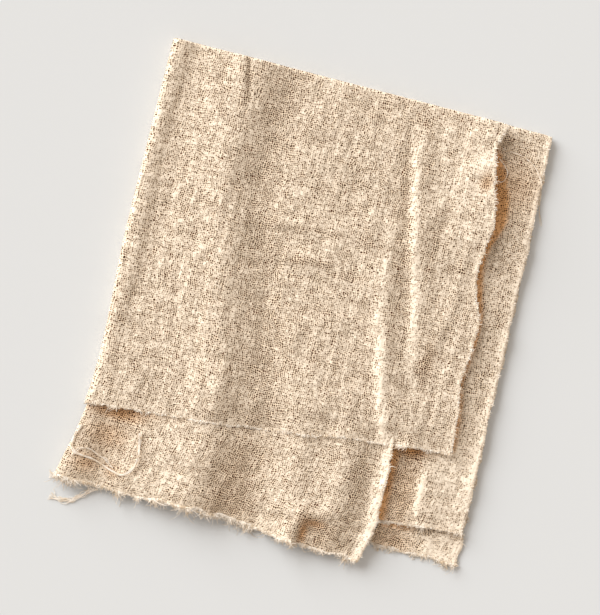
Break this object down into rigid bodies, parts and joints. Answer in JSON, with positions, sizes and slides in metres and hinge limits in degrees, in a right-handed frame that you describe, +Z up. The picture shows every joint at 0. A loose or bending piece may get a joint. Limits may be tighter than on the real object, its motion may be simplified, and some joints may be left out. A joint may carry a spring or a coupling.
{
  "type": "folded cloth napkin",
  "caption": "Crinkled cotton gauze napkin with raw frayed edges, folded in half and in half again, lying flat.",
  "frame": {"origin": "centre of the bounding box in X and Y, at table height", "axes": "+X to the right along the first fold, +Y from the near frayed edges to the first fold, +Z up from the table"},
  "size_m": [0.2116, 0.239, 0.0125],
  "materials": {
    "cotton_gauze": "matte crinkled gauze, natural cream"
  },
  "bodies": {
    "root": {"napkin": "cotton_gauze"}
  },
  "joints": []
}
